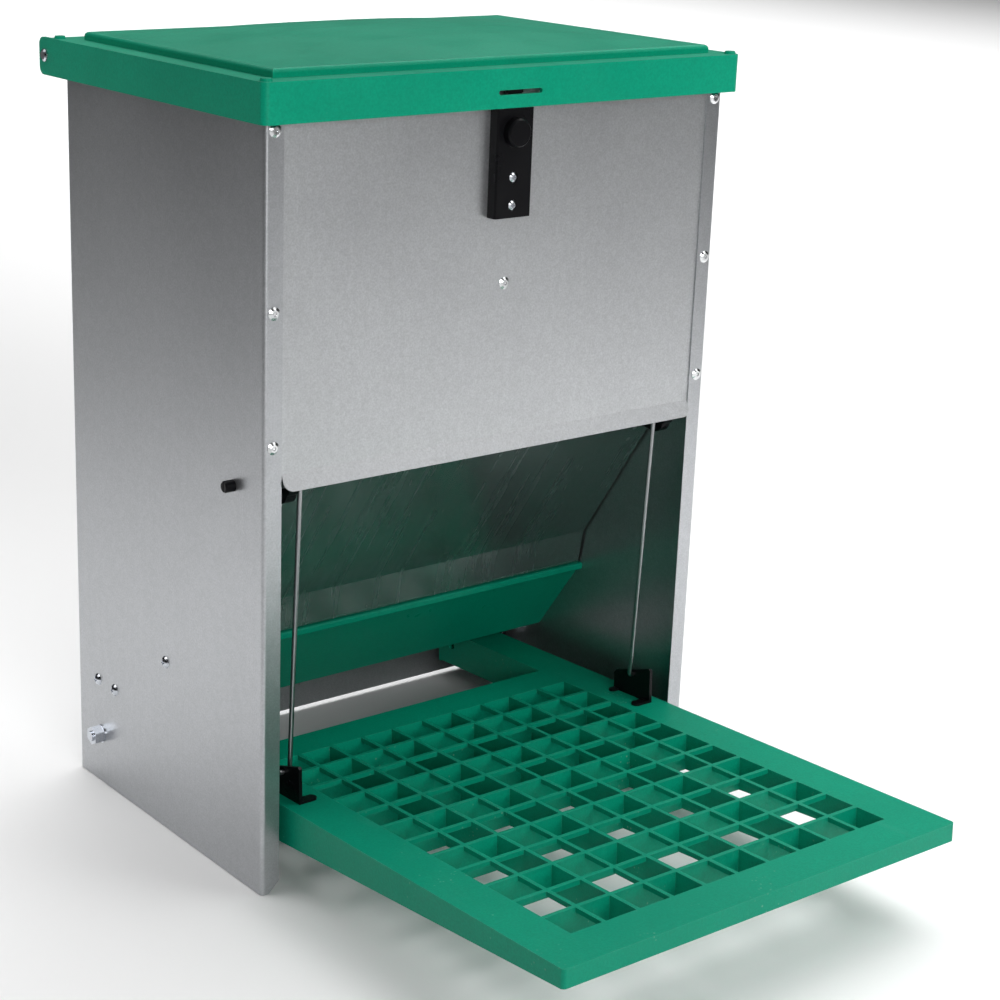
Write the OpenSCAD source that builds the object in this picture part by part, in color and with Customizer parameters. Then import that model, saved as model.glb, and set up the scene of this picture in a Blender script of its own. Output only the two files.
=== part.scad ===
// Gravity poultry feeder with a treadle.
// Standing on the treadle pulls two rods down, and they swing a flap clear of the trough.
// +X is to the right, +Y to the back, +Z up. The origin is under the middle of the feeder.

/* [Body] */
// Width across the side panels
body_w = 400; // [380:5:430]
// Depth from the front flanges to the rear flanges
body_d = 264; // [262:1:268]
// Height of the side panels
body_h = 558; // [556:1:560]
// Thickness of the galvanised sheet
sheet = 1; // [0.9:0.1:1.1]
// Width of the flanges on the side panels
flange_w = 14.5; // [13:0.5:17]
// Outside radius of the sheet bends
bend_r = 3; // [2:0.5:4]
// Height of the fold at the bottom of the front panel
fold_z = 308; // [307:1:310]
// Length of the drip lip under that fold
lip_len = 13; // [10:1:14]
// Forward tilt of the drip lip, in degrees
lip_tilt = 27; // [15:1:32]
// Slope of the hopper floor, in degrees
floor_slope = 35; // [34:0.5:36]

/* [Lid] */
// Gap from the side panels to the outer face of the lid's skirt
lid_side = 7.1; // [6.5:0.1:9]
// Distance of the lid's front face ahead of the front flanges
lid_front = 9.6; // [9.4:0.1:11]
// Thickness of the lid's walls
lid_wall = 2.6; // [2:0.1:2.8]
// Height of the lid's rim
rim_z = 569.3; // [568:0.1:572]
// Height of the skirt
skirt_h = 27; // [25:0.5:27.5]
// Height of the raised top's edge above the rim
plateau_h = 6; // [5:0.5:8]
// Rise of the crowned top from its edge to its middle
crown_h = 11; // [6:1:14]

/* [Trough] */
// Height of the trough's bottom
trough_z = 67; // [66:1:70]
// Thickness of the trough's walls
trough_wall = 2.5; // [2:0.1:3]

/* [Flap] */
// Height of the flap's pivot
pivot_z = 293.6; // [293:0.1:294]
// Distance of the flap's pivot behind the front flanges
pivot_y = 37.7; // [37:0.1:38.5]
// Angle of the flap below the horizontal, in degrees
flap_angle = 56.7; // [56:0.1:57]
// Length from the pivot to the crease
flap_len = 154.8; // [153:0.1:156]
// Length of the turned-down lower edge
edge_len = 28.3; // [26:0.1:28.3]
// Length of the crank from the pivot to the rod
crank_len = 25.5; // [25:0.1:26]
// Angle of the crank above the horizontal at rest, in degrees
crank_angle = 6; // [5:0.5:7]

/* [Treadle] */
// Distance of the treadle's front edge ahead of the front flanges
reach = 297.3; // [290:0.1:305]
// Height of the treadle's front edge at rest
front_z = 75.4; // [74:0.1:77]
// Fall of the treadle from front to back at rest, in degrees
fall = 2.57; // [2.4:0.01:2.7]
// Width of the treadle
treadle_w = 356; // [352:1:358]
// Length of the treadle
treadle_l = 545; // [540:1:550]
// Depth of the skirt at the front edge
front_skirt = 13.4; // [12:0.1:15]
// Distance between the grid's rib centres across the treadle
pitch_x = 29; // [28:0.1:29.2]
// Distance between the grid's rib centres along the treadle
pitch_y = 28.8; // [28:0.1:29]
// Thickness of the ribs
rib_t = 3.2; // [2.4:0.1:4]

/* [Rods] */
// Distance of each rod from the middle
rod_x = 162.5; // [162:0.1:163]
// Radius of the wire
wire_r = 1.75; // [1.5:0.05:2]

/* [Hidden] */
$fn = 64;

steel_colour = [0.66, 0.68, 0.69];
green_colour = [0.0, 0.5, 0.38];
black_colour = [0.07, 0.07, 0.08];
zinc_colour = [0.78, 0.79, 0.8];

half_w = body_w / 2;
ear_reach = 290;
treadle_front = reach + front_skirt * sin(fall);
front_y = (treadle_front - ear_reach) / 2;

// Rivets and panels
rivet_inset = 7.5;
rivet_x = half_w - rivet_inset;
rivet_shank = 2;
hole_gap = 0.05;
front_rivet_z = [328, 419, 537.5];
rear_rivet_z = [40, 180, 328, 419, 530];
brace_rivet_z = 419;
floor_rivet_z = 328;
panel_half = half_w - bend_r - 0.2;
panel_top = body_h - 2;
back_bottom = 3;
flange_cut = 8.5;
front_face = sheet;
front_back = 2 * sheet;
rear_face = body_d - sheet;
lip_half = half_w - flange_w - 0.5;
lip_corner = 7;

// Hopper floor and brace
floor_top_z = 334;
floor_tab_z = 320;
floor_len = 230;
floor_half = half_w - 4;
floor_wing = 12;
brace_depth = 14;
brace_h = 18;
brace_t = 1.5;

// Trough, as a section in Y and Z
trough_half = half_w - sheet - 0.2;
trough_lip_front = 125.5;
trough_lip_back = 134;
trough_lip_low = 131;
trough_lip_top = 136.6;
trough_front_y = 177;
trough_floor_back = 238;
trough_back_y = body_d - 2 * sheet - 1.5;
trough_knee_z = 105;
trough_back_top = 150;
trough_screw_yz = [[130, 133.6], [207, 84.7], [232.8, 84.7]];
trough_screw_r = 1.8;

// Lid and hinge
lid_half = half_w + lid_side;
lid_corner = 5;
lid_bottom = rim_z - skirt_h;
lid_top_t = 2.5;
lid_rear = 276;
hinge_y = 281;
hinge_z = 556.5;
hinge_r = 2.5;
ear_corner = 6;
plateau_half = 190;
plateau_front = 7;
plateau_back = 253;
plateau_round = 3;
rear_lip_z = 563;
boss_r = 4.2;
boss_h = 2;
slot_half = 19;
slot_z = 553;
slot_h = 3.2;
cap_r = 4.6;
bracket_x = [-130, 0, 130];

// Latch
latch_x = -1.3;
latch_half = 16;
latch_depth = 7.5;
latch_low = 466.5;
latch_high = 541.5;
button_x = -2.2;
button_z = 525.5;
button_r = 9.8;
button_proud = 14;
latch_screw_z = [475.2, 494.5];
latch_screw_r = 1.95;

// Treadle pivot and grid
treadle_pivot_y = 229;
treadle_pivot_z = 40.6;
bolt_r = 4;
cols = 10;
rows = 12;
grid_y0 = 32;
grid_half = cols * pitch_x / 2;
plate_t = 3.5;
wall_t = 3;
skirt_slope = 0.05;
skirt_stop = 330;
window_y = 408;
arm_inner = 144;
arm_depth = 29;
pin_y = 21.7;
pin_z = 79.5;
clip_in = 165.5;
clip_out = 168;
clip_y0 = 298;
clip_y1 = 340;
clip_front_h = 28;
clip_back_h = 17;

// Crank
crank_in = 168;
crank_out = 176;
stud_r = 4.2;
stud_len = 7.8;
tip_y = pivot_y - crank_len * cos(crank_angle);
tip_z = pivot_z + crank_len * sin(crank_angle);
// The rod's top end lies a little ahead of the middle of its hole, which it wanders across
rod_lead = 0.25;
rod_play = 0.36;
sheet_offset = 2.25;

// ---------- helpers ----------

module block(low, high) {
    translate(low) cube(high - low);
}

module placed() {
    translate([0, front_y, 0]) children();
}

module both_sides() {
    children();
    mirror([1, 0, 0]) children();
}

// Cylinder along X from x0 to x1 about a point in Y and Z
module x_pin(x0, x1, y, z, r) {
    translate([x0, y, z]) rotate([0, 90, 0]) cylinder(h = x1 - x0, r = r);
}

// Cylinder along Y from y0 to y1 about a point in X and Z
module y_pin(y0, y1, x, z, r) {
    translate([x, y0, z]) rotate([-90, 0, 0]) cylinder(h = y1 - y0, r = r);
}

// Outline in Y and Z, extruded along X from x0 to x1
module x_slab(x0, x1) {
    translate([x0, 0, 0]) rotate([90, 0, 90]) linear_extrude(x1 - x0) children();
}

// Outline in X and Z, extruded along Y from y0 to y1
module y_slab(y0, y1) {
    translate([0, y1, 0]) rotate([90, 0, 0]) linear_extrude(y1 - y0) children();
}

module rounded_rect(x0, y0, x1, y1, r) {
    translate([x0 + r, y0]) square([x1 - x0 - 2 * r, y1 - y0]);
    translate([x0, y0 + r]) square([x1 - x0, y1 - y0 - 2 * r]);
    for (x = [x0 + r, x1 - r], y = [y0 + r, y1 - r]) translate([x, y]) circle(r = r);
}

// Bar with round ends between two points in the plane
module capsule(a, b, r) {
    d = b - a;
    len = norm(d);
    translate(a) circle(r = r);
    translate(b) circle(r = r);
    translate(a) rotate(atan2(d[1], d[0])) translate([0, -r]) square([len, 2 * r]);
}

// Blind rivet along Y: dimpled head ahead of y0, shank to y1, closed head behind it
module rivet(x, z, y0, y1) {
    head_r = 4.5;
    head_h = 1.7;
    rim_h = 0.5;
    difference() {
        union() {
            y_pin(y0 - rim_h, y0, x, z, head_r);
            translate([x, y0 - rim_h, z]) rotate([90, 0, 0])
                cylinder(h = head_h - rim_h, r1 = head_r, r2 = 2.6);
        }
        y_pin(y0 - head_h - 1, y0 - 0.7, x, z, 1.5);
    }
    y_pin(y0 - 1.2, y0 - 0.5, x, z, 0.9);
    y_pin(y0 - 0.1, y1 + 0.1, x, z, rivet_shank);
    y_pin(y1, y1 + 1.2, x, z, 2.9);
}

// Wire along a list of points, with an eight-sided section
module wire(points, r) {
    sides = 8;
    count = len(points);
    function direction(i) =
        let (d = points[min(i + 1, count - 1)] - points[max(i - 1, 0)]) d / norm(d);
    ring = [for (i = [0 : count - 1])
        let (t = direction(i),
             side = cross(t, abs(t[0]) < 0.9 ? [1, 0, 0] : [0, 0, 1]),
             u = side / norm(side),
             v = cross(t, u))
        for (k = [0 : sides - 1])
            points[i] + r * (cos(360 * k / sides) * u + sin(360 * k / sides) * v)];
    walls = [for (i = [0 : count - 2], k = [0 : sides - 1])
        let (n = (k + 1) % sides)
        [i * sides + k, i * sides + n, (i + 1) * sides + n, (i + 1) * sides + k]];
    start = [for (k = [sides - 1 : -1 : 0]) k];
    finish = [for (k = [0 : sides - 1]) (count - 1) * sides + k];
    polyhedron(concat(ring), concat(walls, [start, finish]), convexity = 8);
}

// ---------- galvanised body ----------

module side_outline(inset, r) {
    x0 = half_w - flange_w - (inset > 0 ? 1 : 0);
    x1 = half_w - inset;
    y1 = body_d - inset;
    translate([x0, inset]) square([x1 - r - x0, y1 - inset]);
    translate([x0, inset + r]) square([x1 - x0, y1 - inset - 2 * r]);
    for (y = [inset + r, y1 - r]) translate([x1 - r, y]) circle(r = r);
}

// Right side panel: a web with a flange in front and behind
module side_panel() {
    difference() {
        linear_extrude(body_h) difference() {
            side_outline(0, bend_r);
            side_outline(sheet, bend_r - sheet);
        }
        translate([half_w - flange_w, body_d / 2, 0]) rotate([0, 45, 0])
            cube([flange_cut * sqrt(2), body_d + 2, flange_cut * sqrt(2)], center = true);
        for (z = front_rivet_z) y_pin(-1, sheet + 1, rivet_x, z, rivet_shank + hole_gap);
        for (z = rear_rivet_z)
            y_pin(body_d - sheet - 1, body_d + 1, rivet_x, z, rivet_shank + hole_gap);
        for (p = trough_screw_yz)
            x_pin(half_w - 5, half_w + 1, p[0], p[1], trough_screw_r + hole_gap);
        x_pin(half_w - 5, half_w + 1, pivot_y, pivot_z, stud_r + hole_gap);
        x_pin(half_w - 5, half_w + 1, treadle_pivot_y, treadle_pivot_z, bolt_r + hole_gap);
    }
}

module side_panel_right() {
    color(steel_colour) placed() side_panel();
}

module side_panel_left() {
    color(steel_colour) placed() mirror([1, 0, 0]) side_panel();
}

module lip_outline() {
    translate([-lip_half, -lip_len + lip_corner]) square([2 * lip_half, lip_len - lip_corner]);
    translate([-lip_half + lip_corner, -lip_len]) square([2 * (lip_half - lip_corner), lip_len]);
    for (x = [-1, 1]) translate([x * (lip_half - lip_corner), -lip_len + lip_corner])
        circle(r = lip_corner);
}

module front_panel() {
    color(steel_colour) placed() difference() {
        union() {
            block([-panel_half, front_face, fold_z], [panel_half, front_back, panel_top]);
            translate([0, front_back, fold_z + 0.2]) rotate([-lip_tilt, 0, 0])
                y_slab(-sheet, 0) lip_outline();
        }
        for (x = [-rivet_x, rivet_x], z = front_rivet_z)
            y_pin(0, 4, x, z, rivet_shank + hole_gap);
        y_pin(0, 4, 0, brace_rivet_z, rivet_shank + hole_gap);
        for (z = latch_screw_z) y_pin(0, 4, button_x, z, latch_screw_r + hole_gap);
    }
}

module back_panel() {
    color(steel_colour) placed() difference() {
        block([-panel_half, rear_face - sheet, back_bottom], [panel_half, rear_face, panel_top]);
        for (x = [-rivet_x, rivet_x], z = rear_rivet_z)
            y_pin(rear_face - 2, rear_face + 2, x, z, rivet_shank + hole_gap);
        for (x = bracket_x, side = [-10, 10])
            y_pin(rear_face - 2, rear_face + 2, x + side, 532, rivet_shank + hole_gap);
    }
}

// Height of the hopper floor's upper face at a distance y behind the flanges
function floor_at(y) = floor_top_z - (y - front_back) * tan(floor_slope);

module hopper_floor() {
    y0 = front_back;
    y1 = y0 + floor_len * cos(floor_slope);
    under = sheet / cos(floor_slope);
    end_lip = 8;
    color(steel_colour) placed() difference() {
        union() {
            x_slab(-floor_half, floor_half) polygon([
                [y0, floor_tab_z], [y0, floor_top_z], [y1, floor_at(y1)], [y1, floor_at(y1) - end_lip],
                [y1 - sheet, floor_at(y1) - end_lip], [y1 - sheet, floor_at(y1 - sheet) - under],
                [y0 + sheet, floor_at(y0 + sheet) - under], [y0 + sheet, floor_tab_z]
            ]);
            for (x = [-floor_half, floor_half - sheet])
                x_slab(x, x + sheet) polygon([
                    [y0 + 3, floor_at(y0 + 3) - under / 2], [y1 - 3, floor_at(y1 - 3) - under / 2],
                    [y1 - 3, floor_at(y1 - 3) + floor_wing], [y0 + 3, floor_at(y0 + 3) + floor_wing]
                ]);
        }
        for (x = [-rivet_x, rivet_x])
            y_pin(y0 - 1, y0 + 3, x, floor_rivet_z, rivet_shank + hole_gap);
    }
}

module front_brace() {
    y0 = front_back;
    low = brace_rivet_z - brace_h / 2;
    color(steel_colour) placed() difference() {
        union() {
            block([-panel_half + 1, y0, low], [panel_half - 1, y0 + brace_t, low + brace_h]);
            block([-panel_half + 8, y0, low], [panel_half - 8, y0 + brace_depth, low + brace_t]);
        }
        for (x = [-rivet_x, 0, rivet_x])
            y_pin(y0 - 1, y0 + 4, x, brace_rivet_z, rivet_shank + hole_gap);
    }
}

// What a front rivet passes through: two sheets, and the brace or the floor's tab
function front_stack(z) =
    front_back + (z == brace_rivet_z ? brace_t : (z == floor_rivet_z ? sheet : 0));

module panel_rivets() {
    color(zinc_colour) placed() {
        for (x = [-rivet_x, rivet_x], z = front_rivet_z) rivet(x, z, 0, front_stack(z));
        for (x = [-rivet_x, rivet_x], z = rear_rivet_z)
            translate([0, body_d, 0]) mirror([0, 1, 0]) rivet(x, z, 0, 2 * sheet);
    }
}

module centre_rivet() {
    color(zinc_colour) placed() rivet(0, brace_rivet_z, front_face, front_back + brace_t);
}

// ---------- trough ----------

module trough_section(inset) {
    wall_shift = inset / cos(atan((trough_front_y - trough_lip_back + 3) / (trough_lip_low - trough_z)));
    polygon([
        [trough_lip_back - 3 + wall_shift, trough_lip_low + (inset > 0 ? 30 : 0)],
        [trough_lip_back - 3 + wall_shift, trough_lip_low],
        [trough_front_y + wall_shift * 0.8, trough_z + inset],
        [trough_floor_back, trough_z + inset],
        [trough_back_y - inset, trough_knee_z],
        [trough_back_y - inset, trough_back_top + inset]
    ]);
}

module trough_end_outline() {
    polygon([
        [trough_lip_back - 3, trough_lip_low],
        [trough_front_y, trough_z],
        [trough_floor_back, trough_z],
        [trough_back_y, trough_knee_z],
        [trough_back_y, trough_back_top],
        [trough_lip_back, trough_lip_top - 0.6]
    ]);
}

module feed_trough() {
    color(green_colour) placed() difference() {
        union() {
            x_slab(-trough_half, trough_half) difference() {
                trough_section(0);
                trough_section(trough_wall);
            }
            for (x = [-trough_half, trough_half - trough_wall])
                x_slab(x, x + trough_wall) trough_end_outline();
            x_slab(-trough_half, trough_half)
                rounded_rect(trough_lip_front, trough_lip_low, trough_lip_back + 1, trough_lip_top, 1.5);
        }
        for (p = trough_screw_yz, side = [-1, 1])
            translate([side * trough_half, 0, 0])
                x_pin(-8, 8, p[0], p[1], trough_screw_r + hole_gap);
    }
}

// Dome-headed screw from outside through the right web
module trough_screw(y, z) {
    head_r = 4.8;
    head_h = 2.8;
    dome_r = (head_r * head_r + head_h * head_h) / (2 * head_h);
    difference() {
        union() {
            translate([half_w, y, z]) rotate([0, 90, 0]) rotate_extrude()
                polygon(concat([[0, 0], [head_r, 0]], [for (h = [0.25, 0.5, 0.75, 0.92])
                    [sqrt(dome_r * dome_r - pow(h * head_h + dome_r - head_h, 2)), h * head_h]],
                    [[0, head_h]]));
            x_pin(half_w - 7, half_w + 0.5, y, z, trough_screw_r);
        }
        translate([half_w + head_h, y, z]) {
            cube([2.4, 0.8, 4], center = true);
            cube([2.4, 4, 0.8], center = true);
        }
    }
}

module trough_screws() {
    color(zinc_colour) placed() both_sides()
        for (p = trough_screw_yz) trough_screw(p[0], p[1]);
}

// ---------- lid ----------

// Low crown that rises from level edges to its middle
module crown(half, y0, y1, base, edge, rise) {
    nx = 10;
    ny = 8;
    mid = (y0 + y1) / 2;
    span = (y1 - y0) / 2;
    top = [for (j = [0 : ny], i = [0 : nx])
        let (u = 2 * i / nx - 1, v = 2 * j / ny - 1)
        [u * half, mid + v * span, edge + rise * (1 - u * u) * (1 - v * v)]];
    tops = [for (j = [0 : ny - 1], i = [0 : nx - 1], t = [0, 1])
        let (a = j * (nx + 1) + i)
        t == 0 ? [a, a + nx + 1, a + nx + 2] : [a, a + nx + 2, a + 1]];
    ring = concat([for (i = [0 : nx]) i], [for (j = [1 : ny]) j * (nx + 1) + nx],
                  [for (i = [nx - 1 : -1 : 0]) ny * (nx + 1) + i],
                  [for (j = [ny - 1 : -1 : 1]) j * (nx + 1)]);
    m = len(ring);
    n = len(top);
    low = [for (i = ring) [top[i][0], top[i][1], base]];
    walls = [for (i = [0 : m - 1], t = [0, 1])
        let (k = (i + 1) % m)
        t == 0 ? [ring[i], ring[k], n + k] : [ring[i], n + k, n + i]];
    floors = [for (i = [0 : m - 1]) [n + i, n + (i + 1) % m, n + m]];
    polyhedron(concat(top, low, [[0, mid, base]]), concat(tops, walls, floors), convexity = 4);
}

// Block with rounded upper edges
module rounded_plateau(half, y0, y1, base, edge, r) {
    intersection() {
        y_slab(y0 - 1, y1 + 1) {
            rounded_rect(-half, base - 10, half, edge, r);
        }
        x_slab(-half - 1, half + 1) rounded_rect(y0, base - 10, y1, edge, r);
        block([-half - 1, y0 - 1, base], [half + 1, y1 + 1, edge + 1]);
    }
}

module lid_plan(inset) {
    r = lid_corner - inset * 0.6;
    half = lid_half - inset;
    y0 = -lid_front + inset;
    y1 = lid_rear + (inset > 0 ? 1 : 0);
    translate([-half + r, y0]) square([2 * (half - r), y1 - y0]);
    translate([-half, y0 + r]) square([2 * half, y1 - y0 - r]);
    for (x = [-1, 1]) translate([x * (half - r), y0 + r]) circle(r = r);
}

module lid_ear_outline() {
    rounded_rect(lid_rear - 30, lid_bottom, ear_reach, rim_z, ear_corner);
}

module lid() {
    color(green_colour) placed() difference() {
        union() {
            difference() {
                translate([0, 0, lid_bottom]) linear_extrude(skirt_h) lid_plan(0);
                translate([0, 0, lid_bottom - 1]) linear_extrude(skirt_h + 1 - lid_top_t) lid_plan(lid_wall);
            }
            block([-lid_half + 1, lid_rear - lid_wall, rear_lip_z], [lid_half - 1, lid_rear, rim_z - 1]);
            both_sides() {
                x_slab(lid_half - lid_wall, lid_half) lid_ear_outline();
                x_pin(half_w + 1.4, lid_half - 1, hinge_y, hinge_z, ear_corner);
                for (y = [-lid_front + 6, lid_rear - 8])
                    translate([lid_half - 5.4, y, rim_z - 1])
                        cylinder(h = 1 + boss_h, r1 = boss_r + 0.5, r2 = boss_r - 0.6);
            }
            rounded_plateau(plateau_half, plateau_front, plateau_back,
                rim_z - 1, rim_z + plateau_h, plateau_round);
            crown(plateau_half - plateau_round - 1, plateau_front + plateau_round + 1,
                  plateau_back - plateau_round - 1, rim_z + plateau_h - 1, rim_z + plateau_h - 0.1, crown_h);
        }
        block([-plateau_half + lid_wall, plateau_front + lid_wall, rim_z - 5],
              [plateau_half - lid_wall, plateau_back - lid_wall, rim_z + plateau_h - lid_top_t]);
        crown(plateau_half - plateau_round - 2, plateau_front + plateau_round + 2,
              plateau_back - plateau_round - 2, rim_z + plateau_h - lid_top_t - 1,
              rim_z + plateau_h - lid_top_t - 0.1, crown_h);
        y_slab(-lid_front - 1, -lid_front + lid_wall + 1)
            rounded_rect(-slot_half, slot_z - slot_h / 2, slot_half, slot_z + slot_h / 2, slot_h / 2 - 0.05);
        x_pin(-lid_half - 1, lid_half + 1, hinge_y, hinge_z, hinge_r + hole_gap);
    }
}

module hinge_rod() {
    color(zinc_colour) placed()
        x_pin(-lid_half - 1.2, lid_half + 1.2, hinge_y, hinge_z, hinge_r);
}

module hinge_caps() {
    color(zinc_colour) placed() both_sides() difference() {
        union() {
            x_pin(lid_half + 0.2, lid_half + 1.2, hinge_y, hinge_z, cap_r);
            translate([lid_half + 1.2, hinge_y, hinge_z]) rotate([0, 90, 0])
                cylinder(h = 1, r1 = cap_r, r2 = cap_r - 1.4);
        }
        x_pin(lid_half - 1, lid_half + 1.2, hinge_y, hinge_z, hinge_r);
    }
}

// Plate, web and knuckle that hold the hinge rod behind the back panel
module hinge_bracket(x) {
    half = 17;
    knuckle_r = 5;
    difference() {
        union() {
            block([x - half, rear_face, 518], [x + half, rear_face + 1.5, 553.5]);
            block([x - half, rear_face, 551.5], [x + half, hinge_y, 553.5]);
            x_pin(x - half, x + half, hinge_y, hinge_z, knuckle_r);
        }
        x_pin(x - half - 1, x + half + 1, hinge_y, hinge_z, hinge_r + 0.02);
        for (side = [-10, 10])
            y_pin(rear_face - 1, rear_face + 3, x + side, 532, rivet_shank + hole_gap);
    }
}

module hinge_brackets() {
    color(steel_colour) placed() for (x = bracket_x) hinge_bracket(x);
}

module bracket_rivets() {
    color(zinc_colour) placed()
        for (x = bracket_x, side = [-10, 10])
            translate([0, rear_face + 1.5, 0]) mirror([0, 1, 0]) rivet(x + side, 532, 0, 1.5 + sheet);
}

// ---------- lid latch ----------

module latch_housing() {
    bevel = 1.2;
    color(black_colour) placed() difference() {
        translate([latch_x, 0, latch_low]) linear_extrude(latch_high - latch_low) polygon([
            [-latch_half, front_face], [-latch_half, bevel - latch_depth],
            [-latch_half + bevel, -latch_depth], [latch_half - bevel, -latch_depth],
            [latch_half, bevel - latch_depth], [latch_half, front_face]
        ]);
        block([button_x - 10.4, 1.9 - latch_depth, 513], [button_x + 10.4, front_face + 1, latch_high + 1]);
        y_pin(-latch_depth - 1, 0, button_x, button_z, button_r + 0.3);
        for (z = latch_screw_z) y_pin(-latch_depth - 1, 2, button_x, z, latch_screw_r + hole_gap);
        for (z = latch_screw_z) y_pin(-latch_depth - 1, 1 - latch_depth, button_x, z, 4);
    }
}

// Round push button, its tongue and the tooth behind the lid's slot
module latch_button() {
    tongue_front = -5.3;
    tongue_back = -2.9;
    tooth_front = lid_wall - lid_front + 0.15;
    color(black_colour) placed() {
        y_pin(1.2 - button_proud, tongue_front + 0.2, button_x, button_z, button_r);
        translate([button_x, 1.2 - button_proud, button_z]) rotate([90, 0, 0])
            cylinder(h = 1.2, r1 = button_r, r2 = button_r - 1.1);
        block([button_x - 6.5, tongue_front, 516], [button_x + 6.5, tongue_back, 556]);
        block([button_x - 6.5, tooth_front, 551.9], [button_x + 6.5, tongue_back, 554.3]);
    }
}

module latch_spring() {
    color(zinc_colour) placed() {
        block([button_x - 4, front_face - 0.5, 516], [button_x + 4, front_face, 540]);
        block([button_x - 4, front_face - 1, 516], [button_x + 4, front_face, 519]);
    }
}

module latch_screw(z) {
    seat = 1 - latch_depth;
    difference() {
        union() {
            y_pin(seat - 1, seat, button_x, z, 3.2);
            translate([button_x, seat - 1, z]) rotate([90, 0, 0]) cylinder(h = 1, r1 = 3.2, r2 = 1.9);
            y_pin(seat - 0.5, front_back + 3.4, button_x, z, latch_screw_r);
        }
        translate([button_x, seat - 1.7, z]) {
            cube([0.8, 1.2, 3.4], center = true);
            cube([3.4, 1.2, 0.8], center = true);
        }
    }
}

module latch_screws() {
    color(zinc_colour) placed() for (z = latch_screw_z) latch_screw(z);
}

module latch_backplate() {
    color(steel_colour) placed() difference() {
        block([button_x - 9, front_back, 468], [button_x + 9, front_back + 2.5, 503]);
        for (z = latch_screw_z) y_pin(front_face, 6, button_x, z, latch_screw_r + hole_gap);
    }
}

// ---------- flap ----------

// Frame on the flap's pivot, with Y down along the flap and Z square to it
module on_flap() {
    placed() translate([0, pivot_y, pivot_z]) rotate([-flap_angle, 0, 0]) children();
}

module flap() {
    half = half_w - 2.8;
    notch = 164.5;
    crease = 23.7;
    color(steel_colour) on_flap() difference() {
        union() {
            block([-half, -8, sheet_offset], [half, flap_len, sheet_offset + sheet]);
            translate([0, flap_len, sheet_offset]) rotate([-crease, 0, 0])
                block([-half, -0.6, 0], [half, edge_len, sheet]);
        }
        for (side = [0, 1]) mirror([side, 0, 0]) {
            block([notch, -9, 0], [half + 1, 15, 5]);
            for (y = [25, 38]) translate([182, y, 0]) cylinder(h = 6, r = rivet_shank + hole_gap);
        }
    }
}

// Right crank: stud through the side panel, arm to the rod and tail behind the flap
module crank() {
    lobe = [17, 291.5];
    difference() {
        union() {
            placed() {
                x_pin(crank_in, half_w - sheet - 0.4, pivot_y, pivot_z, 7.5);
                x_pin(crank_in + 2, half_w + stud_len - 1, pivot_y, pivot_z, stud_r);
                translate([half_w + stud_len - 1, pivot_y, pivot_z]) rotate([0, 90, 0])
                    cylinder(h = 1, r1 = stud_r, r2 = stud_r - 0.9);
                x_slab(crank_in, crank_out) {
                    capsule([pivot_y, pivot_z], [tip_y, tip_z], 8);
                    capsule([pivot_y, pivot_z], lobe, 9.2);
                }
            }
            on_flap() {
                block([crank_in, 2, sheet_offset + sheet], [crank_out, 17, sheet_offset + sheet + 4]);
                block([crank_in, 16, sheet_offset + sheet], [192, 45, sheet_offset + sheet + 4]);
            }
        }
        placed() {
            x_pin(crank_in - 1, crank_out + 1, tip_y, tip_z, wire_r + rod_play);
            block([half_w + 1, pivot_y - 0.6, pivot_z - 6],
                [half_w + stud_len + 1, pivot_y + 0.6, pivot_z + 6]);
        }
        on_flap() for (y = [25, 38]) translate([182, y, 2]) cylinder(h = 8, r = rivet_shank + hole_gap);
    }
}

module crank_right() {
    color(black_colour) crank();
}

module crank_left() {
    color(black_colour) mirror([1, 0, 0]) crank();
}

module crank_rivets() {
    tail_back = sheet_offset + sheet + 4;
    color(zinc_colour) both_sides() on_flap() for (y = [25, 38]) translate([182, y, 0]) {
        translate([0, 0, sheet_offset]) cylinder(h = tail_back + 0.1 - sheet_offset, r = rivet_shank);
        translate([0, 0, tail_back]) cylinder(h = 1.4, r1 = 3.6, r2 = 2.4);
    }
}

// ---------- treadle ----------

// Frame on the treadle's front top edge, with Y back along its surface and Z square to it
module on_treadle() {
    placed() translate([0, -reach, front_z]) rotate([-fall, 0, 0]) children();
}

function skirt_depth(y) = front_skirt + skirt_slope * min(y, skirt_stop);
function rib_depth(y) = skirt_depth(y) + 4;
function row_y(j) = grid_y0 + j * pitch_y;
function col_x(k) = (k - cols / 2) * pitch_x;

// The treadle's pivot in its own frame
treadle_pin_y = (treadle_pivot_y + reach) * cos(fall) - (treadle_pivot_z - front_z) * sin(fall);
treadle_pin_z = (treadle_pivot_y + reach) * sin(fall) + (treadle_pivot_z - front_z) * cos(fall);

module treadle_plan() {
    half = treadle_w / 2;
    r = 3;
    translate([-half + r, 0]) square([2 * (half - r), treadle_l]);
    translate([-half, r]) square([2 * half, treadle_l - r]);
    for (x = [-1, 1]) translate([x * (half - r), r]) circle(r = r);
}

module treadle_shell() {
    half = treadle_w / 2;
    deep = skirt_depth(skirt_stop);
    difference() {
        intersection() {
            x_slab(-half, half) polygon([
                [0, 0], [treadle_l, 0], [treadle_l, -deep], [skirt_stop, -deep], [0, -front_skirt]
            ]);
            translate([0, 0, -60]) linear_extrude(61) treadle_plan();
        }
        block([-half + wall_t, wall_t, -60], [half - wall_t, treadle_l - wall_t, -plate_t]);
        block([-arm_inner, window_y, -60], [arm_inner, treadle_l + 1, 1]);
    }
}

module grid_holes() {
    translate([0, 0, -plate_t - 1]) linear_extrude(plate_t + 2)
        for (k = [0 : cols - 1], j = [0 : rows - 1])
            translate([col_x(k) + rib_t / 2, row_y(j) + rib_t / 2])
                square([pitch_x - rib_t, pitch_y - rib_t]);
}

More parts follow.
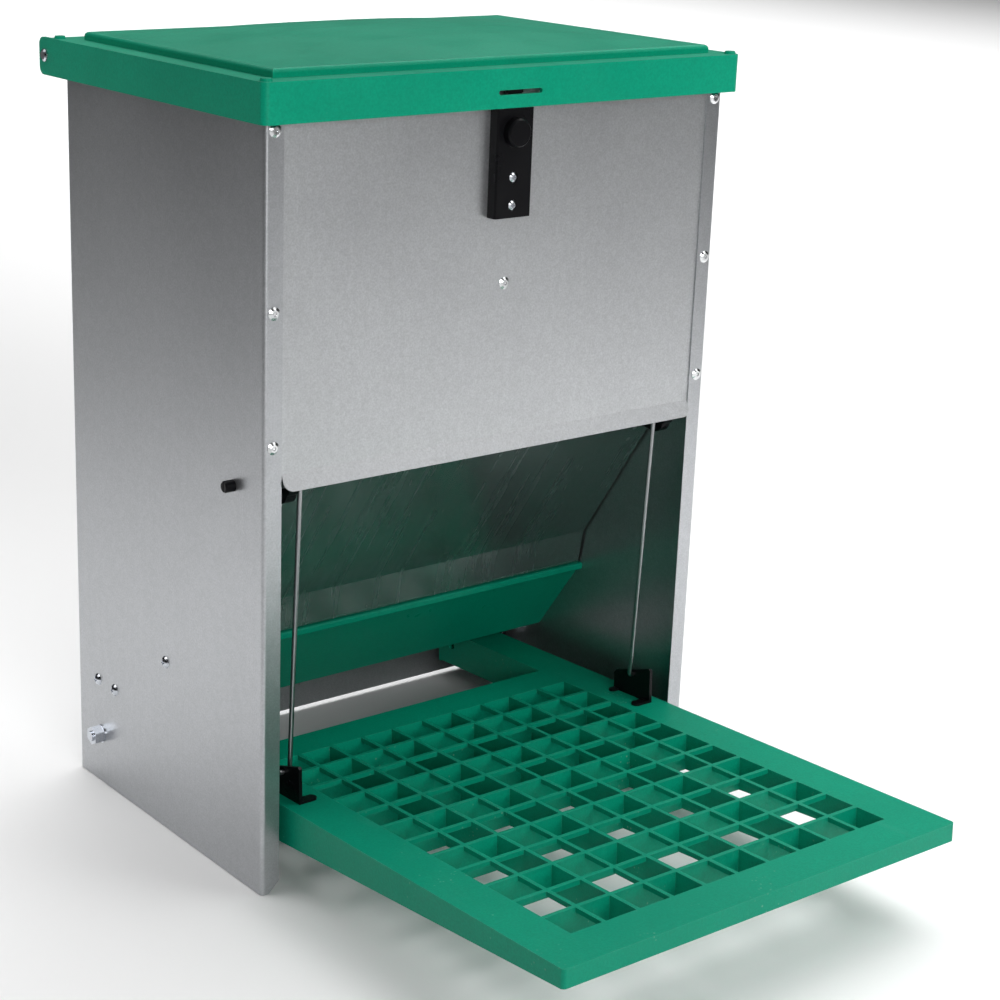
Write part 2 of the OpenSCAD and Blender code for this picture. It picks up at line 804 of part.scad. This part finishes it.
// Every second rib runs deep; the ones between them are only as deep as the plate
module deep_ribs() {
    first = row_y(0) - rib_t / 2;
    last = row_y(rows) + rib_t / 2;
    for (k = [0 : 2 : cols])
        x_slab(col_x(k) - rib_t / 2, col_x(k) + rib_t / 2) polygon([
            [first, -1], [last, -1], [last, -rib_depth(skirt_stop)],
            [skirt_stop, -rib_depth(skirt_stop)], [first, -rib_depth(first)]
        ]);
    for (j = [0, 1, 3, 5, 7, 9, 11, 12])
        block([-grid_half, row_y(j) - rib_t / 2, -rib_depth(row_y(j))],
              [grid_half, row_y(j) + rib_t / 2, -1]);
}

module treadle() {
    pad_r = 9;
    color(green_colour) on_treadle() difference() {
        union() {
            difference() {
                treadle_shell();
                grid_holes();
            }
            deep_ribs();
            block([-arm_inner - 1, window_y - wall_t, -arm_depth], [arm_inner + 1, window_y, -1]);
            both_sides() {
                block([arm_inner, window_y - wall_t, -arm_depth], [arm_inner + wall_t, treadle_l, -1]);
                x_pin(172, treadle_w / 2 - 1, treadle_pin_y, treadle_pin_z, pad_r);
            }
        }
        x_pin(-treadle_w, treadle_w, treadle_pin_y, treadle_pin_z, bolt_r + 0.06);
        for (side = [0, 1], y = [304, 324]) mirror([side, 0, 0])
            block([clip_in - 0.1, y - 0.1, -5], [clip_out + 0.1, y + 10.1, 1]);
    }
}

// Foot that reaches inward from the clip's plate and ends in a half round
module clip_foot(y, reach_in, r) {
    translate([clip_in - reach_in + r, y + r]) circle(r = r);
    translate([clip_in - reach_in + r, y]) square([clip_out - clip_in + reach_in - r, 2 * r]);
}

// Right clip: upright plate, two feet on the treadle and two pegs through it
module treadle_clip() {
    foot_t = 1.8;
    difference() {
        union() {
            on_treadle() {
                x_slab(clip_in, clip_out) {
                    polygon([
                        [clip_y0, 0], [clip_y0, clip_front_h - 1.5], [clip_y0 + 1.5, clip_front_h],
                        [clip_y1 - 2.5, clip_back_h], [clip_y1, clip_back_h - 3], [clip_y1, 0]
                    ]);
                }
                linear_extrude(foot_t) {
                    clip_foot(clip_y0, 14, 4);
                    clip_foot(clip_y1 - 6, 7, 3);
                }
                for (y = [304, 324]) block([clip_in, y, -6], [clip_out, y + 10, 1]);
            }
        }
        placed() x_pin(clip_in - 2, clip_out + 2, pin_y, pin_z, wire_r + 0.06);
    }
}

module treadle_clip_right() {
    color(black_colour) treadle_clip();
}

module treadle_clip_left() {
    color(black_colour) mirror([1, 0, 0]) treadle_clip();
}

// ---------- rods ----------

// Right rod: a straight wire with both ends bent outward
module rod() {
    bend = 2.5;
    top_y = tip_y - rod_lead;
    lean = atan((pin_y - top_y) / (tip_z - pin_z));
    length = norm([top_y - pin_y, tip_z - pin_z]);
    low_end = 8.5;
    high_end = 15.5;
    placed() translate([rod_x, pin_y, pin_z]) rotate([lean, 0, 0]) {
        translate([0, 0, bend]) cylinder(h = length - 2 * bend, r = wire_r);
        x_pin(bend, low_end, 0, 0, wire_r);
        x_pin(bend, high_end, 0, length, wire_r);
        translate([bend, 0, bend]) rotate([90, 0, 0]) rotate([0, 0, 180])
            rotate_extrude(angle = 90) translate([bend, 0]) circle(r = wire_r);
        translate([bend, 0, length - bend]) rotate([90, 0, 0]) rotate([0, 0, 90])
            rotate_extrude(angle = 90) translate([bend, 0]) circle(r = wire_r);
    }
}

module rod_right() {
    color(zinc_colour) rod();
}

module rod_left() {
    color(zinc_colour) mirror([1, 0, 0]) rod();
}

// ---------- treadle pivot ----------

bolt_head_x = 166.4;
bolt_seat_x = 171.8;
washer_t = 1;
nut_t = 4;
hex_r = 7.5;

module hex_along_x(x0, x1) {
    translate([x0, treadle_pivot_y, treadle_pivot_z]) rotate([0, 90, 0])
        cylinder(h = x1 - x0, r = hex_r, $fn = 6);
}

module pivot_bolts() {
    color(zinc_colour) placed() both_sides() {
        hex_along_x(bolt_head_x, bolt_seat_x);
        x_pin(bolt_seat_x - 1, half_w + 10.5, treadle_pivot_y, treadle_pivot_z, bolt_r);
    }
}

module pivot_spacers() {
    color(black_colour) placed() both_sides() difference() {
        x_pin(treadle_w / 2 + 0.2, half_w - sheet - 0.1, treadle_pivot_y, treadle_pivot_z, 7.6);
        x_pin(treadle_w / 2 - 1, half_w, treadle_pivot_y, treadle_pivot_z, bolt_r + hole_gap);
    }
}

module pivot_washers() {
    color(zinc_colour) placed() both_sides() difference() {
        x_pin(half_w, half_w + washer_t, treadle_pivot_y, treadle_pivot_z, 7.2);
        x_pin(half_w - 1, half_w + 2, treadle_pivot_y, treadle_pivot_z, bolt_r + hole_gap);
    }
}

module jam_nuts() {
    start = half_w + washer_t;
    color(zinc_colour) placed() both_sides() for (i = [0, 1]) difference() {
        hex_along_x(start + i * nut_t, start + (i + 1) * nut_t - 0.05);
        x_pin(start - 1, start + 10, treadle_pivot_y, treadle_pivot_z, bolt_r + hole_gap);
    }
}

// Torsion spring round the spacer, with one leg under the arm and one towards the back
spring_r = 9.6;
spring_wire_r = 0.9;
spring_turns = 4.25;
spring_steps = 14;
spring_x0 = 181;
spring_pitch = 2.3;

function spring_coil() = [for (i = [0 : spring_turns * spring_steps])
    let (a = 270 - 360 * i / spring_steps)
    [spring_x0 + spring_pitch * i / spring_steps,
     treadle_pivot_y + spring_r * cos(a), treadle_pivot_z + spring_r * sin(a)]];

module return_spring() {
    low_leg = [[170, 190, 20.4], [178, 190, 20.4], [180.4, 192, 20.8], [181, 205, 24.6]];
    high_leg = [[190.8, 214, 58], [190.8, 216, 66]];
    color(zinc_colour) placed() wire(concat(low_leg, spring_coil(), high_leg), spring_wire_r);
}

module return_spring_right() {
    return_spring();
}

module return_spring_left() {
    mirror([1, 0, 0]) return_spring();
}

side_panel_left();
side_panel_right();
front_panel();
back_panel();
hopper_floor();
front_brace();
panel_rivets();
centre_rivet();
feed_trough();
trough_screws();
lid();
hinge_rod();
hinge_caps();
hinge_brackets();
bracket_rivets();
latch_housing();
latch_button();
latch_spring();
latch_screws();
latch_backplate();
flap();
crank_left();
crank_right();
crank_rivets();
rod_left();
rod_right();
treadle();
treadle_clip_left();
treadle_clip_right();
pivot_bolts();
pivot_spacers();
pivot_washers();
jam_nuts();
return_spring_left();
return_spring_right();
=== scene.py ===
"""Studio scene of a gravity poultry feeder with a treadle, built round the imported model."""
import math

import bpy
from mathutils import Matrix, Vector

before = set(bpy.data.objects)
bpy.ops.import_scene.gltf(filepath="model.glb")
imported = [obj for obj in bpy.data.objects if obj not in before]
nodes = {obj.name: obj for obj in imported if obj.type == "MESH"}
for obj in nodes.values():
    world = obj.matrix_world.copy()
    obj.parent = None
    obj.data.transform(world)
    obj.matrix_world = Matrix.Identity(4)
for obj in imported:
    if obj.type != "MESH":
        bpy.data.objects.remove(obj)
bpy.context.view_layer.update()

# ---------------------------------------------------------------- camera

CAMERA_PLACE = (-0.9512, -1.1542, 0.7348)
CAMERA_TURN = (72.34, -1.60, -37.06)
CAMERA_LENS = 78.3
CAMERA_SHIFT_X = 0.07


def make_camera():
    data = bpy.data.cameras.new("camera")
    data.lens = CAMERA_LENS
    data.sensor_width = 36.0
    data.shift_x = CAMERA_SHIFT_X
    data.clip_end = 50.0
    camera = bpy.data.objects.new("camera", data)
    camera.location = CAMERA_PLACE
    camera.rotation_euler = [math.radians(a) for a in CAMERA_TURN]
    bpy.context.scene.collection.objects.link(camera)
    bpy.context.scene.camera = camera


# ---------------------------------------------------------------- node graphs


def shade(colour, factor):
    """The same colour, lighter or darker, and never past white."""
    return tuple(min(1.0, channel * factor) for channel in colour)


class Graph:
    """A short way to write a material's nodes."""

    def __init__(self, name):
        self.material = bpy.data.materials.new(name)
        self.material.use_nodes = True
        self.tree = self.material.node_tree
        self.shader = self.tree.nodes["Principled BSDF"]
        coordinates = self.tree.nodes.new("ShaderNodeTexCoord")
        self.place = coordinates.outputs["Object"]

    def link(self, a, b):
        self.tree.links.new(a, b)

    def put(self, socket, value):
        """Links an output to a socket, or sets the socket to a plain value."""
        if isinstance(value, bpy.types.NodeSocket):
            self.link(value, socket)
        else:
            socket.default_value = value

    def set(self, **inputs):
        for key, value in inputs.items():
            self.put(self.shader.inputs[key.replace("_", " ")], value)

    def stretched(self, scale):
        node = self.tree.nodes.new("ShaderNodeMapping")
        node.inputs["Scale"].default_value = scale
        self.link(self.place, node.inputs["Vector"])
        return node.outputs["Vector"]

    def noise(self, scale, detail=3.0, rough=0.5, place=None):
        node = self.tree.nodes.new("ShaderNodeTexNoise")
        self.link(place or self.place, node.inputs["Vector"])
        node.inputs["Scale"].default_value = scale
        node.inputs["Detail"].default_value = detail
        node.inputs["Roughness"].default_value = rough
        return node.outputs["Fac"]

    def grey(self, colour):
        node = self.tree.nodes.new("ShaderNodeRGBToBW")
        self.link(colour, node.inputs["Color"])
        return node.outputs["Val"]

    def cells(self, scale, output="Color"):
        node = self.tree.nodes.new("ShaderNodeTexVoronoi")
        self.link(self.place, node.inputs["Vector"])
        node.inputs["Scale"].default_value = scale
        return node.outputs[output]

    def ramp(self, value, low, high, to_low=0.0, to_high=1.0):
        node = self.tree.nodes.new("ShaderNodeMapRange")
        node.inputs["From Min"].default_value = low
        node.inputs["From Max"].default_value = high
        node.inputs["To Min"].default_value = to_low
        node.inputs["To Max"].default_value = to_high
        self.link(value, node.inputs["Value"])
        return node.outputs["Result"]

    def math(self, operation, a, b=0.0):
        node = self.tree.nodes.new("ShaderNodeMath")
        node.operation = operation
        self.put(node.inputs[0], a)
        self.put(node.inputs[1], b)
        return node.outputs["Value"]

    def mix(self, factor, a, b, blend="MIX"):
        node = self.tree.nodes.new("ShaderNodeMix")
        node.data_type = "RGBA"
        node.blend_type = blend
        self.put(node.inputs["Factor"], factor)
        for socket, value in ((node.inputs[6], a), (node.inputs[7], b)):
            self.put(socket, (*value, 1.0) if isinstance(value, tuple) else value)
        return node.outputs[2]

    def bump(self, height, strength, distance, normal=None):
        node = self.tree.nodes.new("ShaderNodeBump")
        node.inputs["Strength"].default_value = strength
        node.inputs["Distance"].default_value = distance
        self.link(height, node.inputs["Height"])
        if normal is not None:
            self.link(normal, node.inputs["Normal"])
        return node.outputs["Normal"]

    def edge(self, radius):
        """1 on a sharp outer edge, 0 on flat faces: how far a bevelled normal turns."""
        bevel = self.tree.nodes.new("ShaderNodeBevel")
        bevel.samples = 6
        bevel.inputs["Radius"].default_value = radius
        geometry = self.tree.nodes.new("ShaderNodeNewGeometry")
        dot = self.tree.nodes.new("ShaderNodeVectorMath")
        dot.operation = "DOT_PRODUCT"
        self.link(bevel.outputs["Normal"], dot.inputs[0])
        self.link(geometry.outputs["Normal"], dot.inputs[1])
        return self.ramp(dot.outputs["Value"], 0.98, 0.72)


# ---------------------------------------------------------------- materials


GRAIN_HEIGHT = 0.0002
ROLLING_HEIGHT = 0.0001
SKIN_HEIGHT = 0.0003
SWELL_HEIGHT = 0.004
WORN_RADIUS = 0.0009
DUST = (0.34, 0.50, 0.38)
WORN_GREEN = (0.10, 0.36, 0.27)
WORN_BLACK = (0.04, 0.04, 0.045)
ROLLED_UP = (6.0, 6.0, 0.08)
ROLLED_DOWN_FLAP = (6.0, 0.08, 0.08)


def galvanised(name, colour, rough, streak=0.02, roll=ROLLED_UP):
    """Zinc coating: cloudy tone, small faint spangle, fine grain, rolling marks along the sheet."""
    g = Graph(name)
    cloud = g.noise(8.0, 5.0, 0.6)
    fine = g.noise(760.0, 2.0, 0.6)
    spangle = g.grey(g.cells(260.0))
    rolled = g.noise(30.0, 3.0, 0.55, g.stretched(roll))
    tone = g.mix(g.ramp(cloud, 0.32, 0.68), shade(colour, 0.96), shade(colour, 1.04))
    tone = g.mix(g.ramp(spangle, 0.2, 0.8, 0.0, 0.10), tone, shade(colour, 1.6))
    tone = g.mix(g.ramp(fine, 0.32, 0.68, 0.0, 0.34), tone, shade(colour, 0.5))
    tone = g.mix(g.ramp(rolled, 0.35, 0.7, 0.0, streak * 2), tone, shade(colour, 0.6))
    scuff = g.ramp(g.noise(14.0, 6.0, 0.75, g.stretched((1.0, 1.0, 2.5))), 0.66, 0.74)
    tone = g.mix(g.math("MULTIPLY", scuff, 0.10), tone, shade(colour, 0.55))
    roughness = g.math("ADD", g.ramp(cloud, 0.3, 0.7, rough - 0.02, rough + 0.03),
                       g.ramp(rolled, 0.35, 0.7, 0.0, streak * 0.8))
    normal = g.bump(fine, 0.14, GRAIN_HEIGHT)
    normal = g.bump(rolled, 0.04, ROLLING_HEIGHT, normal)
    g.set(Base_Color=tone, Metallic=0.92, Roughness=roughness, Normal=normal)
    return g.material


def brushed(name, colour, rough, direction):
    """Bare or plated metal. Its fine lines run where the direction's scale is smallest."""
    g = Graph(name)
    lines = g.noise(40.0, 4.0, 0.6, g.stretched(direction))
    cloud = g.noise(60.0, 3.0)
    tone = g.mix(g.ramp(lines, 0.3, 0.7), shade(colour, 0.86), colour)
    tone = g.mix(g.ramp(cloud, 0.35, 0.75, 0.0, 0.18), tone, shade(colour, 0.6))
    roughness = g.ramp(lines, 0.2, 0.8, rough - 0.07, rough + 0.08)
    normal = g.bump(lines, 0.12, ROLLING_HEIGHT)
    g.set(Base_Color=tone, Metallic=1.0, Roughness=roughness, Normal=normal)
    return g.material


def moulded(name, colour, rough, wear, speck=0.0, grain=0.3, pale=WORN_GREEN, haze=0.0):
    """Moulded plastic with a leathery grain, pale scuffs, dust specks and worn edges."""
    g = Graph(name)
    cloud = g.noise(7.0, 4.0)
    skin = g.noise(620.0, 2.0, 0.65)
    tone = g.mix(g.ramp(cloud, 0.35, 0.65), shade(colour, 0.93), shade(colour, 1.05))
    tone = g.mix(g.ramp(skin, 0.35, 0.68, 0.0, 0.45), tone, shade(colour, 0.66))
    if speck:
        dots = g.ramp(g.cells(240.0, "Distance"), 0.22, 0.12)
        dust = g.math("MULTIPLY", dots, g.ramp(g.noise(22.0, 4.0, 0.7), 0.56, 0.68))
        tone = g.mix(g.math("MULTIPLY", dust, speck), tone, DUST)
        streak = g.ramp(g.noise(34.0, 3.0, 0.6, g.stretched((3.0, 0.35, 1.0))), 0.62, 0.80)
        tone = g.mix(g.math("MULTIPLY", streak, speck * 0.3), tone, pale)
    patches = g.ramp(g.noise(70.0, 3.0, 0.7), 0.35, 0.65, 0.25, 1.0)
    rubbed = g.math("MULTIPLY", g.edge(WORN_RADIUS), patches)
    tone = g.mix(g.math("MULTIPLY", rubbed, wear), tone, pale)
    roughness = g.ramp(g.noise(24.0, 4.0), 0.3, 0.7, rough - 0.05, rough + 0.07)
    normal = g.bump(skin, grain, SKIN_HEIGHT)
    normal = g.bump(cloud, 0.04, SWELL_HEIGHT, normal)
    g.set(Base_Color=tone, Roughness=roughness, Normal=normal, IOR=1.49, Specular_IOR_Level=0.15,
          Sheen_Weight=haze, Sheen_Roughness=0.45)
    return g.material


PANEL = galvanised("galvanised_panel", (0.46, 0.475, 0.49), 0.28, 0.03)
SIDE = galvanised("galvanised_side", (0.48, 0.492, 0.51), 0.30)
FRONT = galvanised("galvanised_front", (0.54, 0.553, 0.566), 0.36)
# The flap is grey zinc. Its blue-green tint is a painted reflection of the green trough and
# treadle.
FLAP_PAINTED_REFLECTION = galvanised("galvanised_flap_painted_reflection", (0.38, 0.45, 0.44), 0.24, 0.05, ROLLED_DOWN_FLAP)
ZINC = brushed("zinc_fastener", (0.66, 0.69, 0.74), 0.22, (20.0, 20.0, 20.0))
RIVET = brushed("aluminium_rivet", (0.80, 0.81, 0.82), 0.20, (20.0, 20.0, 20.0))
WIRE = brushed("steel_wire", (0.36, 0.37, 0.38), 0.30, (60.0, 60.0, 2.0))
GREEN_LID = moulded("green_lid", (0.001, 0.325, 0.19), 0.36, 0.35, speck=0.04, haze=0.035)
GREEN_TREADLE = moulded("green_treadle", (0.001, 0.275, 0.165), 0.38, 0.5, speck=0.35)
GREEN_TROUGH = moulded("green_trough", (0.001, 0.255, 0.155), 0.32, 0.35, speck=0.05, grain=0.12)
BLACK = moulded("black_nylon", (0.004, 0.004, 0.005), 0.30, 0.25, grain=0.15, pale=WORN_BLACK)

MATERIALS = {
    "side_panel_left": SIDE, "side_panel_right": SIDE, "front_panel": FRONT, "back_panel": PANEL,
    "hopper_floor": PANEL, "front_brace": PANEL, "panel_rivets": RIVET, "centre_rivet": RIVET,
    "feed_trough": GREEN_TROUGH, "trough_screws": ZINC, "lid": GREEN_LID, "hinge_rod": ZINC,
    "hinge_caps": ZINC, "hinge_brackets": PANEL, "bracket_rivets": RIVET,
    "latch_housing": BLACK, "latch_button": BLACK, "latch_spring": ZINC, "latch_screws": ZINC,
    "latch_backplate": PANEL, "flap": FLAP_PAINTED_REFLECTION, "crank_left": BLACK, "crank_right": BLACK,
    "crank_rivets": RIVET, "rod_left": WIRE, "rod_right": WIRE, "treadle": GREEN_TREADLE,
    "treadle_clip_left": BLACK, "treadle_clip_right": BLACK, "pivot_bolts": ZINC,
    "pivot_spacers": BLACK, "pivot_washers": ZINC, "jam_nuts": ZINC,
    "return_spring_left": ZINC, "return_spring_right": ZINC,
}

# Radius of the softened edges, in metres, by node
SOFT_EDGES = {
    "lid": 0.0011, "feed_trough": 0.0006, "treadle": 0.0005, "latch_housing": 0.0004,
    "latch_button": 0.0004, "crank_left": 0.0005, "crank_right": 0.0005,
    "treadle_clip_left": 0.0004, "treadle_clip_right": 0.0004, "jam_nuts": 0.0004,
    "pivot_bolts": 0.0004, "front_panel": 0.00025, "side_panel_left": 0.0002,
    "side_panel_right": 0.0002,
}


def dress_nodes():
    for name, node in nodes.items():
        node.data.materials.clear()
        node.data.materials.append(MATERIALS[name])
        if name in SOFT_EDGES:
            bevel = node.modifiers.new("soft_edges", "BEVEL")
            bevel.width = SOFT_EDGES[name]
            bevel.segments = 2
            bevel.limit_method = "ANGLE"
            bevel.angle_limit = math.radians(35)


# ---------------------------------------------------------------- studio

FLOOR_HALF = 14.0
FLOOR_DROP = 0.0005
ROOM_TOWARDS = (0.72, 0.55, 0.42)
ROOM_DIM = 0.05
ROOM_BRIGHT = 1.0
SOFT_BOXES = (
    # name, place, target, size, spread in degrees, watts
    ("backdrop", (3.0, 4.6, 2.8), (3.0, 4.6, 0.0), (6.0, 9.5), 130.0, 300.0),
    ("key", (2.0, -2.2, 1.9), (0.1, 0.0, 0.2), (1.4, 1.4), 180.0, 9.0),
    ("front", (-0.8, -2.6, 1.2), (0.0, 0.0, 0.2), (1.5, 1.2), 180.0, 42.0),
    ("left_floor", (-0.75, 0.5, 0.9), (-0.65, 0.4, 0.0), (0.8, 0.8), 110.0, 2.6),
    ("near_floor", (0.8, -0.7, 1.4), (0.7, -0.6, 0.0), (1.0, 1.0), 100.0, 7.0),
    ("top", (-0.1, 0.4, 2.3), (0.0, 0.1, 0.0), (1.6, 1.6), 180.0, 8.0),
)


def floor_material():
    """Plain pale floor, with only a trace of unevenness."""
    g = Graph("pale_floor")
    tone = g.mix(g.noise(2.0, 2.0), (0.88, 0.88, 0.88), (0.90, 0.90, 0.90))
    g.set(Base_Color=tone, Roughness=0.7)
    return g.material


def make_floor():
    corners = [(FLOOR_HALF * x, FLOOR_HALF * y, 0) for x, y in ((-1, -1), (1, -1), (1, 1), (-1, 1))]
    mesh = bpy.data.meshes.new("floor")
    mesh.from_pydata(corners, [], [(0, 1, 2, 3)])
    floor = bpy.data.objects.new("floor", mesh)
    floor.location.z = -FLOOR_DROP
    mesh.materials.append(floor_material())
    bpy.context.scene.collection.objects.link(floor)


def area_light(name, place, target, size, spread, power):
    data = bpy.data.lights.new(name, "AREA")
    data.shape = "RECTANGLE"
    data.size, data.size_y = size
    data.spread = math.radians(spread)
    data.energy = power
    light = bpy.data.objects.new(name, data)
    light.location = place
    light.rotation_euler = (Vector(target) - Vector(place)).to_track_quat("-Z", "Y").to_euler()
    bpy.context.scene.collection.objects.link(light)


def make_light():
    """Soft boxes in a dim room that is brighter on one side."""
    world = bpy.data.worlds.new("studio")
    world.use_nodes = True
    tree = world.node_tree
    coordinates = tree.nodes.new("ShaderNodeTexCoord")
    dot = tree.nodes.new("ShaderNodeVectorMath")
    dot.operation = "DOT_PRODUCT"
    dot.inputs[1].default_value = ROOM_TOWARDS
    tree.links.new(coordinates.outputs["Generated"], dot.inputs[0])
    fade = tree.nodes.new("ShaderNodeMapRange")
    fade.interpolation_type = "SMOOTHSTEP"
    fade.inputs["From Min"].default_value = 0.1
    fade.inputs["To Min"].default_value = ROOM_DIM
    fade.inputs["To Max"].default_value = ROOM_BRIGHT
    tree.links.new(dot.outputs["Value"], fade.inputs["Value"])
    tree.links.new(fade.outputs["Result"], tree.nodes["Background"].inputs["Strength"])
    bpy.context.scene.world = world
    bpy.context.scene.view_settings.view_transform = "Standard"
    for soft_box in SOFT_BOXES:
        area_light(*soft_box)


make_camera()
dress_nodes()
make_floor()
make_light()
